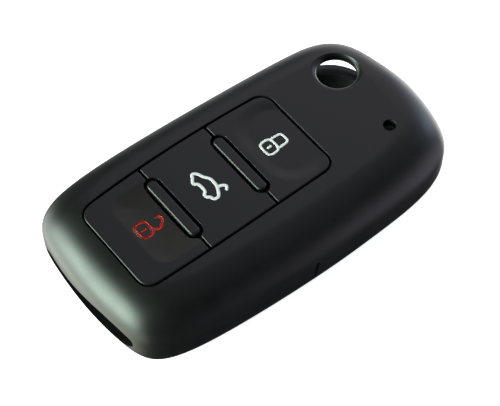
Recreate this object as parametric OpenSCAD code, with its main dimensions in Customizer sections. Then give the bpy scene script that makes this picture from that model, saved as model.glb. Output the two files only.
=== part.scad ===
// Soft cover for a three-button folding key.
// It lies on its flat back with the buttons up. +Z is up, +Y points to the head end with the release window.
// The origin is the centre of the back, on the surface that it rests on. The blade slot is on the -X side.

/* [Body] */
// Length from the tail end to the head end
body_length = 80; // [74:0.5:90]
// Width across the long sides
body_width = 43.6; // [41:0.1:48]
// Height from the back to the front face
body_height = 18.5; // [17.5:0.1:22]
// Thickness of the soft wall
wall = 1.9; // [1.6:0.1:2.3]
// Reach of the front edge's rounding, in from the side
front_round_reach = 8.4; // [6.5:0.1:8.6]
// Height of the front edge's rounding
front_round_height = 7.9; // [6:0.1:8]
// Reach of the rear edge's rounding, in from the side
rear_round_reach = 6; // [4:0.1:8]
// Height of the rear edge's rounding
rear_round_height = 7.4; // [5:0.1:8]
// Height of the plane where the two halves of the moulding meet
parting_height = 9.6; // [8.6:0.1:9.8]

/* [Button panel] */
// Length of the panel's recess
panel_length = 46.1; // [44:0.1:47.5]
// Width of the panel's recess at its ends
panel_width = 21.7; // [20:0.1:22.2]
// How far each long side of the panel bows out at its middle
panel_bow = 1; // [0:0.05:1.2]
// Radius of the panel's corners
panel_corner = 3.3; // [2:0.1:5]
// Place of the panel's middle across the body
panel_x = -1.4; // [-1.6:0.1:0.6]
// Distance from the tail end to the panel
panel_margin = 7.2; // [6.6:0.05:8]
// Width of the groove round the pads
groove_width = 0.6; // [0.4:0.05:0.8]
// Width of the groove between two pads
divider_width = 0.5; // [0.3:0.05:0.8]
// Thickness of the floor under the pads' edges
floor_thickness = 0.9; // [0.6:0.1:1.2]
// Reach of the floor in from the panel's edge
floor_reach = 1.9; // [1.7:0.1:2.2]
// Reach of the floor past the panel's edge, where it stiffens the wall
floor_margin = 1.2; // [0.6:0.1:1.5]

/* [Pads] */
// Length of the lock pad, at the head end
lock_pad_length = 14.75; // [14:0.05:15.5]
// Length of the unlock pad, at the tail end
unlock_pad_length = 15.15; // [14.2:0.05:15.8]
// Travel of a pad when it is pressed
pad_travel = 0.5; // [0.3:0.05:0.55]
// Height of the collapsed skirt under a fully pressed pad
web_rest = 0.3; // [0.2:0.05:0.35]
// Depth of the finger hollow in the lock and unlock pads, reached at the pad's head edge
scoop_depth = 0.25; // [0.1:0.01:0.3]
// Width of the finger hollow
scoop_width = 17.9; // [14:0.1:18.4]
// Radius of the hollow's two rounded corners
scoop_corner = 3; // [1:0.1:4]
// Place of the lock pad's hollow: its tail edge, from the pad's middle
lock_scoop_y = -2.9; // [-4.5:0.1:-2.6]
// Place of the unlock pad's hollow: its tail edge, from the pad's middle
unlock_scoop_y = -2; // [-4.5:0.1:-1.9]
// Thickness of the collapsing skirt under a pad's edge
web_thickness = 0.4; // [0.3:0.05:0.5]
// Distance of the skirt in from the pad's edge
web_inset = 0.3; // [0.2:0.05:0.4]
// Radius of the pip under a pad
pip_radius = 3; // [2.4:0.1:3.3]
// Length of the pip below the pad
pip_length = 2; // [1.8:0.1:2.4]

/* [Ribs] */
// Length of a rib
rib_length = 14.8; // [12:0.1:16]
// Width of a rib
rib_width = 2.3; // [1.8:0.1:2.6]
// Height of a rib above the front face
rib_proud = 0.2; // [0.1:0.05:0.5]
// Width of the groove round a rib
rib_groove = 0.65; // [0.4:0.05:0.8]

/* [Windows] */
// Radius of the release window
release_radius = 4.2; // [3.8:0.1:4.8]
// Radius of the rounding on the release window's rim
release_rim = 1; // [0.4:0.1:1.2]
// Place of the release window across the body
release_x = -7.3; // [-8:0.1:-6]
// Distance from the head end to the release window's middle
release_margin = 11.9; // [11.4:0.1:13]
// Radius of the lamp window
lamp_radius = 1.15; // [0.8:0.05:1.5]
// Place of the lamp window across the body
lamp_x = 10; // [8:0.1:11]
// Distance from the head end to the lamp window's middle
lamp_margin = 12.7; // [12:0.1:14]

/* [Slot and mouth] */
// Height of the blade slot's lower lip
slot_low = 6; // [5.6:0.1:9]
// Height of the blade slot's upper lip
slot_high = 14.2; // [13:0.1:14.6]
// Place of the slot's tail end along the body
slot_tail_y = -22; // [-26:0.5:-14]
// Place of the slot's head end across the body
slot_head_x = 4.4; // [0:0.1:6]
// Height of the tail mouth's lower lip at its lowest
mouth_low = 5.4; // [5:0.1:6]
// Height of the tail mouth's upper lip at its highest
mouth_high = 11; // [10.4:0.1:11.6]
// Width of the tail mouth
mouth_width = 27.8; // [24:0.1:29]
// Place of the mouth's middle across the body
mouth_x = -1.2; // [-1.6:0.1:0]
// Width of the nick in the near side
nick_width = 0.5; // [0.3:0.05:0.8]
// Depth of the nick
nick_depth = 0.7; // [0.4:0.05:1]
// Length of the nick along its slant
nick_length = 6.4; // [4:0.1:6.8]
// Place of the nick's middle along the body
nick_y = -0.9; // [-4:0.1:4]
// Slant of the nick in degrees
nick_slant = 8; // [0:1:12]

/* [Inlays] */
// Width of a line in the inlaid pictures
line_width = 0.45; // [0.35:0.01:0.55]
// Depth of the inlays in the pads
inlay_depth = 0.5; // [0.4:0.05:0.6]
// Width of the padlocks' frame between line centres
lock_width = 3.4; // [3:0.1:3.8]
// Height of the padlocks' frame between line centres
lock_height = 2.8; // [2.4:0.1:3.2]
// Radius of the frame's corners
lock_corner = 0.9; // [0.6:0.05:1.2]
// Width of the shackle between line centres
shackle_width = 2.6; // [2.2:0.1:3]
// Rise of the shackle above the frame
shackle_rise = 2.6; // [2.2:0.1:3]
// Length of the keyhole mark
keyhole_length = 1.2; // [0.8:0.1:1.4]
// Width of the car picture between line centres
car_width = 7.24; // [6:0.1:8]
// Height of the car picture between line centres
car_height = 3.32; // [2.8:0.1:3.8]
// Shift of the pictures to the near side of the panel's middle
picture_x = 0.25; // [-0.5:0.05:0.8]
// Shift of the lock picture towards the head end from its pad's middle
lock_picture_y = 0.9; // [-0.8:0.1:1.4]
// Shift of the unlock picture towards the head end from its pad's middle
unlock_picture_y = 1.5; // [-0.8:0.1:1.6]
// Shift of the car picture towards the head end from its pad's middle
boot_picture_y = -0.15; // [-0.8:0.1:0.8]

/* [Hidden] */
$fn = 64;
// Reach of every cut past the face that it opens
overrun = 1;
// Samples in each span of the plan outline, and degrees between the rings of a rounded edge
outline_steps = 4;
outer_ring_step = 10;
inner_ring_step = 15;
// Samples in a rounded corner, along a panel side, in each span of a picture's line, in a rim's rounding
// and along a finger hollow
corner_steps = 8;
side_steps = 10;
picture_steps = 3;
rim_steps = 8;
scoop_steps = 6;

// Plan outline from the near side round to the head end, as shares of half the width and half the length
outline_shares = [[1.01, 0.08], [0.995, 0.40], [0.975, 0.70], [0.84, 0.905], [0.52, 0.97], [0.05, 1.005],
    [-0.33, 0.965], [-0.62, 0.935], [-0.86, 0.81], [-0.91, 0.56], [-0.955, 0.24], [-0.995, -0.20],
    [-1.01, -0.55], [-0.98, -0.83], [-0.84, -0.96], [-0.56, -0.985], [-0.06, -1.005], [0.44, -0.985],
    [0.77, -0.94], [0.90, -0.74], [0.97, -0.36]];
// Car in side view, anticlockwise from its nose, as shares of half its width and half its height
car_shares = [[-1, -0.28], [-0.97, -0.54], [-0.76, -0.6], [-0.64, -0.88], [-0.5, -1], [-0.38, -0.88],
    [-0.28, -0.55], [0.29, -0.55], [0.37, -0.86], [0.53, -0.98], [0.66, -0.86], [0.73, -0.56],
    [0.95, -0.48], [1, 0.02], [0.92, 0.36], [0.6, 0.74], [0.36, 0.96], [0.06, 1],
    [-0.22, 0.94], [-0.48, 0.5], [-0.78, 0.27], [-0.93, 0.04]];
// Raised boot lid, from the roof's rear edge
lid_shares = [[0.47, 0.9], [0.5, 1.28], [0.56, 1.55], [0.64, 1.78], [0.76, 1.78], [0.88, 1.56]];
// Open shackle, as shares of its own half width and rise, from the frame's near corner
open_shackle_shares = [[0.5, 0], [0.85, 0.22], [1.05, 0.38], [1.02, 0.62], [0.66, 0.88], [0.2, 1.08],
    [-0.12, 1.12], [-0.5, 1.04], [-0.84, 0.82], [-1, 0.6]];
// Tail mouth with its wavy upper lip, anticlockwise from its near end, as shares of half its width and height
mouth_shares = [[1, 0.14], [0.96, 0.64], [0.77, 0.95], [0.44, 1], [0.13, 0.75], [-0.2, 0.39], [-0.52, 0.25],
    [-0.8, 0.39], [-0.96, 0.23], [-1, -0.02], [-0.9, -0.35], [-0.56, -0.71], [-0.06, -0.97],
    [0.45, -1], [0.8, -0.8], [0.97, -0.3]];

front_shoulder = body_height - front_round_height;
panel_y = panel_margin + (panel_length - body_length) / 2;
release_y = body_length / 2 - release_margin;
lamp_y = body_length / 2 - lamp_margin;
floor_top = body_height - wall;
floor_bottom = floor_top - floor_thickness;
tail_divider_y = unlock_pad_length - panel_length / 2;
head_divider_y = panel_length / 2 - lock_pad_length;
web_height = web_rest + pad_travel;
pad_thickness = wall - web_height;
slot_middle = (slot_low + slot_high) / 2;
slot_round = (slot_high - slot_low) / 2;
mouth_middle = (mouth_low + mouth_high) / 2;
mouth_height = mouth_high - mouth_low;
lock_middle_y = (panel_length / 2 + head_divider_y) / 2;
boot_middle_y = (tail_divider_y + head_divider_y) / 2;
unlock_middle_y = (tail_divider_y - panel_length / 2) / 2;
picture_height = lock_height + shackle_rise;

// Point at share u of one span of a cubic spline that rounds its control points off
function rounded_point(a, b, c, d, u) =
    (a * pow(1 - u, 3) + b * (3 * pow(u, 3) - 6 * u * u + 4)
    + c * (3 * u * u + 3 * u + 1 - 3 * pow(u, 3)) + d * pow(u, 3)) / 6;
function rounded_loop(p, steps) = [for (i = [0:len(p) - 1]) for (k = [0:steps - 1])
    rounded_point(p[i], p[(i + 1) % len(p)], p[(i + 2) % len(p)], p[(i + 3) % len(p)], k / steps)];

// Point at share u of one span of a spline that runs through its points
function through_point(a, b, c, d, u) =
    (2 * b + (c - a) * u + (2 * a - 5 * b + 4 * c - d) * u * u + (3 * b - 3 * c + d - a) * pow(u, 3)) / 2;
function through_loop(p, steps) = [for (i = [0:len(p) - 1]) for (k = [0:steps - 1])
    through_point(p[i], p[(i + 1) % len(p)], p[(i + 2) % len(p)], p[(i + 3) % len(p)], k / steps)];
function through_path(p, steps) = let (n = len(p) - 1) concat([for (i = [0:n - 1]) for (k = [0:steps - 1])
    through_point(p[max(i - 1, 0)], p[i], p[i + 1], p[min(i + 2, n)], k / steps)], [p[n]]);

// Unit normal to the right of a line at its point i
function side_normal(p, i, closed) = let (n = len(p),
    before = closed ? p[(i + n - 1) % n] : p[max(i - 1, 0)],
    after = closed ? p[(i + 1) % n] : p[min(i + 1, n - 1)],
    along = (after - before) / norm(after - before)) [along[1], -along[0]];
function shifted(p, distance, closed) =
    [for (i = [0:len(p) - 1]) p[i] + side_normal(p, i, closed) * distance];

// Rounded rectangle, anticlockwise, with points along its long sides
function rounded_box(w, h, r) = concat(
    [for (k = [1:side_steps - 1]) [w / 2, (h / 2 - r) * (2 * k / side_steps - 1)]],
    corner_arc(w / 2 - r, h / 2 - r, r, 0), corner_arc(r - w / 2, h / 2 - r, r, 90),
    [for (k = [1:side_steps - 1]) [-w / 2, (h / 2 - r) * (1 - 2 * k / side_steps)]],
    corner_arc(r - w / 2, r - h / 2, r, 180), corner_arc(w / 2 - r, r - h / 2, r, 270));
function corner_arc(x, y, r, start) = [for (k = [0:corner_steps])
    [x + r * cos(start + 90 * k / corner_steps), y + r * sin(start + 90 * k / corner_steps)]];

// Panel's outline grown by a margin, with its long sides bowed out
function panel_loop(margin) =
    [for (p = rounded_box(panel_width + 2 * margin, panel_length + 2 * margin, panel_corner + margin))
    [p[0] + sign(p[0]) * panel_bow * (1 - pow(2 * p[1] / panel_length, 2)), p[1]]];

// Plan outline, stretched so that it just fills the body's width and length
raw_outline = rounded_loop(outline_shares, outline_steps);
raw_low = [min([for (p = raw_outline) p[0]]), min([for (p = raw_outline) p[1]])];
raw_span = [max([for (p = raw_outline) p[0]]), max([for (p = raw_outline) p[1]])] - raw_low;
outline = [for (p = raw_outline) [((p[0] - raw_low[0]) / raw_span[0] - 1 / 2) * body_width,
    ((p[1] - raw_low[1]) / raw_span[1] - 1 / 2) * body_length]];

// Solid through a stack of rings, each given as its inset from the side and its height
module loft(levels) {
    n = len(outline);
    points = [for (v = levels) for (p = outline)
        [p[0] * (1 - 2 * v[0] / body_width), p[1] * (1 - 2 * v[0] / body_length), v[1]]];
    sides = [for (r = [0:len(levels) - 2]) for (i = [0:n - 1]) for (half = [0, 1])
        let (a = r * n + i, b = r * n + (i + 1) % n) half == 0 ? [a, a + n, b + n] : [a, b + n, b]];
    bottom = [for (i = [0:n - 1]) i];
    top = [for (i = [0:n - 1]) len(levels) * n - 1 - i];
    polyhedron(points = points, faces = concat([bottom], sides, [top]), convexity = 4);
}

function front_rings(reach, height, step) = [for (t = [0:step:90])
    [front_round_reach - reach * cos(t), front_shoulder + height * sin(t)]];
function rear_rings(reach, height, step) = [for (t = [90:-step:0])
    [rear_round_reach - reach * cos(t), rear_round_height - height * sin(t)]];

module pill(length, width) {
    square([length - width, width], center = true);
    for (side = [-1, 1]) translate([side * (length - width) / 2, 0]) circle(d = width);
}

module at_panel(z) translate([panel_x, panel_y, z]) children();

// Outline of one pad, drawn in from its groove by a margin
module pad_area(from_y, to_y, margin) {
    difference() {
        intersection() {
            polygon(panel_loop(-groove_width - margin));
            translate([-body_width / 2, from_y + margin]) square([body_width, to_y - from_y - 2 * margin]);
        }
        for (y = [tail_divider_y, head_divider_y]) translate([0, y])
            pill(rib_length + 2 * (rib_groove + margin), rib_width + 2 * (rib_groove + margin));
    }
}
module lock_area(margin) pad_area(head_divider_y + divider_width / 2, panel_length, margin);
module boot_area(margin)
    pad_area(tail_divider_y + divider_width / 2, head_divider_y - divider_width / 2, margin);
module unlock_area(margin) pad_area(-panel_length, tail_divider_y - divider_width / 2, margin);

// Opening under one pad, which the pip passes through
module pip_opening(from_y, to_y) {
    intersection() {
        polygon(panel_loop(-floor_reach));
        translate([-body_width / 2, from_y]) square([body_width, to_y - from_y]);
    }
}

module panel_floor_openings() {
    bar = rib_width / 2 + rib_groove + floor_reach - groove_width;
    pip_opening(-panel_length, tail_divider_y - bar);
    pip_opening(tail_divider_y + bar, head_divider_y - bar);
    pip_opening(head_divider_y + bar, panel_length);
}

// Round hole through the front wall with a rounded rim
module release_cut() {
    arc = [for (k = [0:rim_steps]) let (t = 90 * k / rim_steps)
        [release_radius + release_rim * (1 - cos(t)), body_height - release_rim * (1 - sin(t))]];
    profile = concat([[0, floor_bottom - overrun], [release_radius, floor_bottom - overrun]], arc,
        [[release_radius + release_rim, body_height + overrun], [0, body_height + overrun]]);
    translate([release_x, release_y, 0]) rotate_extrude() polygon(profile);
}

module lamp_cut() {
    translate([lamp_x, lamp_y, floor_bottom - overrun])
        cylinder(r = lamp_radius, h = body_height - floor_bottom + 2 * overrun);
}

// Long slot in the far side, round the head corner to the head end
module slot_cut() {
    side_depth = body_width / 2 + overrun;
    head_depth = body_length / 2 + overrun;
    side_start = slot_tail_y + slot_round;
    head_stop = slot_head_x - slot_round;
    slot_inner_x = release_x - release_radius;
    translate([-side_depth, side_start, slot_low])
        cube([side_depth + slot_inner_x, head_depth - side_start, 2 * slot_round]);
    translate([-side_depth, side_start, slot_middle]) rotate([0, 90, 0])
        cylinder(r = slot_round, h = side_depth + slot_inner_x);
    translate([-side_depth, release_y, slot_low])
        cube([side_depth + head_stop, head_depth - release_y, 2 * slot_round]);
    translate([head_stop, release_y, slot_middle]) rotate([-90, 0, 0])
        cylinder(r = slot_round, h = head_depth - release_y);
}

// Wide mouth in the tail end
module mouth_cut() {
    depth = 3 * wall + overrun;
    translate([mouth_x, depth - body_length / 2 - overrun, mouth_middle]) rotate([90, 0, 0])
        linear_extrude(depth) polygon(through_loop(scaled(mouth_shares, mouth_width / 2, mouth_height / 2),
            picture_steps));
}

// Narrow slanted nick in the near side, below the parting plane
module nick_cut() {
    translate([body_width / 2 - nick_depth, nick_y, parting_height]) rotate([-nick_slant, 0, 0])
        translate([0, -nick_width / 2, -nick_length])
        cube([nick_depth + overrun, nick_width, nick_length + overrun]);
}

// Hollow inside the front half, less the floor that stays under the panel
module front_hollow() {
    rings = front_rings(front_round_reach - wall, front_round_height - wall, inner_ring_step);
    difference() {
        loft(concat([[wall, parting_height - overrun]], rings));
        at_panel(floor_bottom) linear_extrude(floor_thickness + overrun) polygon(panel_loop(floor_margin));
    }
}

module front_shell() {
    rings = front_rings(front_round_reach, front_round_height, outer_ring_step);
    color("#26282b") difference() {
        loft(concat([[0, parting_height]], rings));
        front_hollow();
        at_panel(floor_top) linear_extrude(wall + overrun) polygon(panel_loop(0));
        at_panel(floor_bottom - overrun) linear_extrude(floor_thickness + 2 * overrun) panel_floor_openings();
        release_cut();
        lamp_cut();
        slot_cut();
        mouth_cut();
    }
}

module rear_shell() {
    color("#222427") difference() {
        loft(concat(rear_rings(rear_round_reach, rear_round_height, outer_ring_step), [[0, parting_height]]));
        loft(concat(rear_rings(rear_round_reach - wall, rear_round_height - wall, inner_ring_step),
            [[wall, parting_height + overrun]]));
        slot_cut();
        mouth_cut();
        nick_cut();
    }
}

module rib(y) {
    color("#2f3234") translate([0, y, 0]) at_panel(floor_top)
        linear_extrude(wall + rib_proud) pill(rib_length, rib_width);
}
module head_rib() rib(head_divider_y);
module tail_rib() rib(tail_divider_y);

// Finger hollow, open upwards at the pads' top, whose floor dips from its tail edge to the pad's head edge
module scoop(tail_y, head_y) {
    run = head_y - tail_y;
    side = scoop_width / 2;
    bend = side - scoop_corner;
    plan = concat(corner_arc(-bend, scoop_corner, scoop_corner, 180),
        corner_arc(bend, scoop_corner, scoop_corner, 270), [[side, run + overrun], [-side, run + overrun]]);
    dip = [for (k = [0:scoop_steps]) let (left = 1 - k / scoop_steps)
        [run * (1 - left), scoop_depth * (left * left - 1)]];
    translate([picture_x, tail_y, 0]) intersection() {
        translate([0, 0, -scoop_depth - overrun]) linear_extrude(scoop_depth + 2 * overrun) polygon(plan);
        translate([-scoop_width, 0, 0]) rotate([90, 0, 90]) linear_extrude(2 * scoop_width)
            polygon(concat(dip, [[run + overrun, -scoop_depth], [run + overrun, overrun], [0, overrun]]));
    }
}

// Pads before their pictures are let in
module flat_plate() at_panel(body_height - pad_thickness) linear_extrude(pad_thickness) children();
module lock_plate() difference() {
    flat_plate() lock_area(0);
    at_panel(body_height) scoop(lock_middle_y + lock_scoop_y, panel_length / 2 - groove_width);
}
module unlock_plate() difference() {
    flat_plate() unlock_area(0);
    at_panel(body_height)
        scoop(unlock_middle_y + unlock_scoop_y, tail_divider_y - rib_width / 2 - rib_groove);
}

module inlay() {
    at_panel(body_height - inlay_depth) linear_extrude(inlay_depth + overrun) children();
}

module closed_line(p) {
    difference() {
        polygon(shifted(p, line_width / 2, true));
        polygon(shifted(p, -line_width / 2, true));
    }
}
module open_line(p) {
    left = shifted(p, -line_width / 2, false);
    right = shifted(p, line_width / 2, false);
    polygon(concat(right, [for (i = [len(left) - 1:-1:0]) left[i]]));
    for (end = [p[0], p[len(p) - 1]]) translate(end) circle(d = line_width);
}
function scaled(shares, w, h) = [for (s = shares) [s[0] * w, s[1] * h]];

// Padlock frame with its foot at the picture's foot
module lock_frame() {
    translate([0, lock_height / 2 - picture_height / 2])
        closed_line(rounded_box(lock_width, lock_height, lock_corner));
}
module keyhole_area() {
    translate([0, lock_height / 2 - picture_height / 2]) rotate([0, 0, 90]) pill(keyhole_length, line_width);
}

// Closed shackle: a round-shouldered hoop whose foot is the frame's upper line
module closed_shackle() {
    foot = lock_height - picture_height / 2;
    bend = shackle_width / 2 - line_width;
    bend_y = foot + shackle_rise - bend;
    open_line(concat([[shackle_width / 2, foot]], corner_arc(shackle_width / 2 - bend, bend_y, bend, 0),
        corner_arc(bend - shackle_width / 2, bend_y, bend, 90), [[-shackle_width / 2, foot]]));
}
module open_shackle() {
    translate([0, lock_height - picture_height / 2])
        open_line(through_path(scaled(open_shackle_shares, shackle_width / 2, shackle_rise), picture_steps));
}

module lock_picture() translate([picture_x, lock_middle_y + lock_picture_y]) children();
module unlock_picture() translate([picture_x, unlock_middle_y + unlock_picture_y]) children();
module boot_picture() translate([picture_x - line_width, boot_middle_y + boot_picture_y]) children();

module lock_icon_area() lock_picture() {
    lock_frame();
    closed_shackle();
}
module unlock_icon_area() unlock_picture() {
    lock_frame();
    open_shackle();
}
module boot_icon_area() boot_picture() {
    closed_line(through_loop(scaled(car_shares, car_width / 2, car_height / 2), picture_steps));
    open_line(through_path(scaled(lid_shares, car_width / 2, car_height / 2), picture_steps));
}

module lock_pad() {
    color("#2a2c2f") difference() {
        lock_plate();
        inlay() lock_icon_area();
        inlay() lock_picture() keyhole_area();
    }
}
module boot_pad() {
    color("#2a2c2f") difference() {
        flat_plate() boot_area(0);
        inlay() boot_icon_area();
    }
}
module unlock_pad() {
    color("#2a2c2f") difference() {
        unlock_plate();
        inlay() unlock_icon_area();
        inlay() unlock_picture() keyhole_area();
    }
}

// Thin skirt that stands on the panel's floor and carries a pad's edge
module lock_web() {
    color("#1c1d1f") at_panel(floor_top) linear_extrude(web_height) difference() {
        lock_area(web_inset);
        lock_area(web_inset + web_thickness);
    }
}
module boot_web() {
    color("#1c1d1f") at_panel(floor_top) linear_extrude(web_height) difference() {
        boot_area(web_inset);
        boot_area(web_inset + web_thickness);
    }
}
module unlock_web() {
    color("#1c1d1f") at_panel(floor_top) linear_extrude(web_height) difference() {
        unlock_area(web_inset);
        unlock_area(web_inset + web_thickness);
    }
}

module pip(y) {
    color("#1c1d1f") translate([0, y, 0]) at_panel(body_height - pad_thickness - pip_length)
        cylinder(r = pip_radius, h = pip_length);
}
module lock_pip() pip(lock_middle_y);
module boot_pip() pip(boot_middle_y);
module unlock_pip() pip(unlock_middle_y);

module lock_icon() color("#f2f2f0") intersection() {
    lock_plate();
    inlay() lock_icon_area();
}
module lock_keyhole() color("#f2f2f0") intersection() {
    lock_plate();
    inlay() lock_picture() keyhole_area();
}
module boot_icon() color("#f2f2f0") intersection() {
    flat_plate() boot_area(0);
    inlay() boot_icon_area();
}
module unlock_icon() color("#d8432a") intersection() {
    unlock_plate();
    inlay() unlock_icon_area();
}
module unlock_keyhole() color("#d8432a") intersection() {
    unlock_plate();
    inlay() unlock_picture() keyhole_area();
}

front_shell();
rear_shell();
head_rib();
tail_rib();
lock_pad();
boot_pad();
unlock_pad();
lock_web();
boot_web();
unlock_web();
lock_pip();
boot_pip();
unlock_pip();
lock_icon();
lock_keyhole();
boot_icon();
unlock_icon();
unlock_keyhole();
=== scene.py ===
# Soft cover for a folding key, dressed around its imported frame.
# Metres, Z up. The head end points towards +Y and the blade slot is on the -X side.
import math

import bmesh
import bpy
from mathutils import Matrix, Vector


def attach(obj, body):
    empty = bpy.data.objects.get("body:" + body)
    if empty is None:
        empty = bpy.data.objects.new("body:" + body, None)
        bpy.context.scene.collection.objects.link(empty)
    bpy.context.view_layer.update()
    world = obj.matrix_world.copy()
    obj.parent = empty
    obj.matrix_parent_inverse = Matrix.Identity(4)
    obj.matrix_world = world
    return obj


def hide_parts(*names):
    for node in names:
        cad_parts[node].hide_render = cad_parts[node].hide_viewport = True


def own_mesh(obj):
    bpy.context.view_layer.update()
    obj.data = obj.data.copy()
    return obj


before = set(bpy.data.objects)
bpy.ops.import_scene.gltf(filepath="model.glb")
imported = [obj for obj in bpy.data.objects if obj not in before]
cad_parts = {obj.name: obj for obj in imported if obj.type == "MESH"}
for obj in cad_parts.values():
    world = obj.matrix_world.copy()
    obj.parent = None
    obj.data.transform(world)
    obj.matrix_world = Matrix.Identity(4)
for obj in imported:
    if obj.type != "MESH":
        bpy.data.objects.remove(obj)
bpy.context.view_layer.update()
mm = 0.001
print("frame loaded with", len(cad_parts), "nodes")


# Curves

def roundedCurve(points, steps):
    # closed curve that rounds its control points off
    count = len(points)
    curve = []
    for i in range(count):
        near = [points[(i + k) % count] for k in range(4)]
        for k in range(steps):
            u = k / steps
            share = ((1 - u) ** 3, 3 * u ** 3 - 6 * u * u + 4,
                     3 * u * u + 3 * u + 1 - 3 * u ** 3, u ** 3)
            curve.append(tuple(sum(s * p[axis] for s, p in zip(share, near)) / 6
                               for axis in (0, 1)))
    return curve


def throughCurve(points, steps, closed):
    # curve that runs through its points
    count = len(points)
    spans = count if closed else count - 1
    curve = []
    for i in range(spans):
        if closed:
            a, b, c, d = (points[(i + k - 1) % count] for k in range(4))
        else:
            a, b, c, d = (points[min(max(i + k - 1, 0), count - 1)] for k in range(4))
        for k in range(steps):
            u = k / steps
            share = (-u + 2 * u * u - u ** 3, 2 - 5 * u * u + 3 * u ** 3,
                     u + 4 * u * u - 3 * u ** 3, u ** 3 - u * u)
            curve.append(tuple(sum(s * p[axis] for s, p in zip(share, (a, b, c, d))) / 2
                               for axis in (0, 1)))
    return curve if closed else curve + [tuple(points[-1])]


def quarterTurn(steps):
    # angles from nought to a right angle
    return [math.pi / 2 * k / steps for k in range(steps + 1)]


def cornerArc(x, y, radius, start, steps):
    # quarter circle, anticlockwise from an angle in degrees
    turns = [math.radians(start + 90 * k / steps) for k in range(steps + 1)]
    return [(x + radius * math.cos(t), y + radius * math.sin(t)) for t in turns]


def roundedBox(width, height, radius, cornerSteps, sideSteps):
    # rounded rectangle, anticlockwise from the foot of its right side
    x, y = width / 2 - radius, height / 2 - radius
    rise = [y * (2 * k / sideSteps - 1) for k in range(1, sideSteps)]
    return ([(width / 2, v) for v in rise]
            + cornerArc(x, y, radius, 0, cornerSteps) + cornerArc(-x, y, radius, 90, cornerSteps)
            + [(-width / 2, -v) for v in rise]
            + cornerArc(-x, -y, radius, 180, cornerSteps) + cornerArc(x, -y, radius, 270, cornerSteps))


def pillOutline(length, width, steps):
    # bar along X with round ends
    radius = width / 2
    x = length / 2 - radius
    turns = [math.pi * k / steps - math.pi / 2 for k in range(steps + 1)]
    near = [(x + radius * math.cos(t), radius * math.sin(t)) for t in turns]
    return near + [(-px, -py) for px, py in near]


def evenCurve(points, spacing):
    # closed curve with points at an even spacing along it, anticlockwise
    area = sum(x * ny - nx * y for (x, y), (nx, ny) in zip(points, points[1:] + points[:1]))
    loop = points if area > 0 else points[::-1]
    loop = loop + loop[:1]
    length = sum(math.dist(p, q) for p, q in zip(loop, loop[1:]))
    step = length / round(length / spacing)
    curve, walked, due = [], 0, 0
    for (x, y), (nx, ny) in zip(loop, loop[1:]):
        reach = math.dist((x, y), (nx, ny))
        while due < walked + reach and due < length - step / 2:
            share = (due - walked) / reach
            curve.append((x + (nx - x) * share, y + (ny - y) * share))
            due += step
        walked += reach
    return curve


def easedCurve(curve, closed=True):
    # the curve with each point drawn a little towards its neighbours
    last = len(curve) - 1
    eased = list(curve)
    for i, (x, y) in enumerate(curve):
        if closed or 0 < i < last:
            (beforeX, beforeY), (afterX, afterY) = curve[i - 1], curve[(i + 1) % len(curve)]
            eased[i] = (x / 2 + (beforeX + afterX) / 4, y / 2 + (beforeY + afterY) / 4)
    return eased


def shiftedCurve(curve, distance, closed, stride=0.05 * mm):
    # the curve moved to its right by a distance, in small eased strides that keep its bends open
    strides = math.ceil(abs(distance) / stride)
    for _ in range(strides):
        moved = []
        for i, (x, y) in enumerate(curve):
            before = curve[i - 1] if closed or i > 0 else curve[0]
            after = curve[(i + 1) % len(curve)] if closed or i < len(curve) - 1 else curve[-1]
            alongX, alongY = after[0] - before[0], after[1] - before[1]
            step = distance / strides / math.hypot(alongX, alongY)
            moved.append((x + alongY * step, y - alongX * step))
        curve = easedCurve(moved, closed)
    return curve


def placed(points, x, y):
    # the points moved by x and y
    return [(px + x, py + y) for px, py in points]


# Mesh making

making = {
    "hair": 0.001 * mm,         # corners closer than this are one
    "joinReach": 0.002 * mm,    # the same after the last cut, and before a bevel
    "bevelReach": 0.01 * mm,
    "sharpAngle": 35, "shadeWeight": 80,
}


def addRing(bm, points):
    corners = [bm.verts.new(p) for p in points]
    return [bm.edges.new(pair) for pair in zip(corners, corners[1:] + corners[:1])]


def stackRings(rings, hole=()):
    # closed solid through rings of the same count, from end to end, with a hole through a second stack
    bm = bmesh.new()
    stacks = [[addRing(bm, ring) for ring in stack] for stack in (rings, hole) if stack]
    for stack in stacks:
        for lower, upper in zip(stack, stack[1:]):
            bmesh.ops.bridge_loops(bm, edges=lower + upper)
    for end in (0, -1):
        rim = [edge for stack in stacks for edge in stack[end]]
        if hole:
            bmesh.ops.triangle_fill(bm, edges=rim, use_beauty=True)
        else:
            bmesh.ops.contextual_create(bm, geom=rim)
    bmesh.ops.recalc_face_normals(bm, faces=bm.faces)
    return bm


def prism(curve, low, high):
    # upright solid on a closed curve
    return stackRings([[(x, y, z) for x, y in curve] for z in (low, high)])


def turned(profile, x, y, steps):
    # solid of revolution about an upright axis, from (radius, height) pairs whose ends are on the axis
    bm = bmesh.new()
    corners = [bm.verts.new((x + r, y, z)) for r, z in profile]
    edges = [bm.edges.new(pair) for pair in zip(corners, corners[1:])]
    bmesh.ops.spin(bm, geom=corners + edges, cent=(x, y, 0), axis=(0, 0, 1), angle=math.tau,
                   steps=steps, use_merge=True)
    bmesh.ops.remove_doubles(bm, verts=bm.verts, dist=making["hair"])
    bmesh.ops.recalc_face_normals(bm, faces=bm.faces)
    return bm


def block(low, high):
    # box between two corners
    bm = bmesh.new()
    bmesh.ops.create_cube(bm, size=1)
    size = Vector(high) - Vector(low)
    middle = (Vector(high) + Vector(low)) / 2
    bmesh.ops.scale(bm, vec=size, verts=bm.verts)
    bmesh.ops.translate(bm, vec=middle, verts=bm.verts)
    return bm


def makePiece(name, bm, *materials):
    mesh = bpy.data.meshes.new(name)
    bm.to_mesh(mesh)
    bm.free()
    for material in materials:
        mesh.materials.append(material)
    piece = bpy.data.objects.new(name, mesh)
    bpy.context.scene.collection.objects.link(piece)
    return piece


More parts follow.
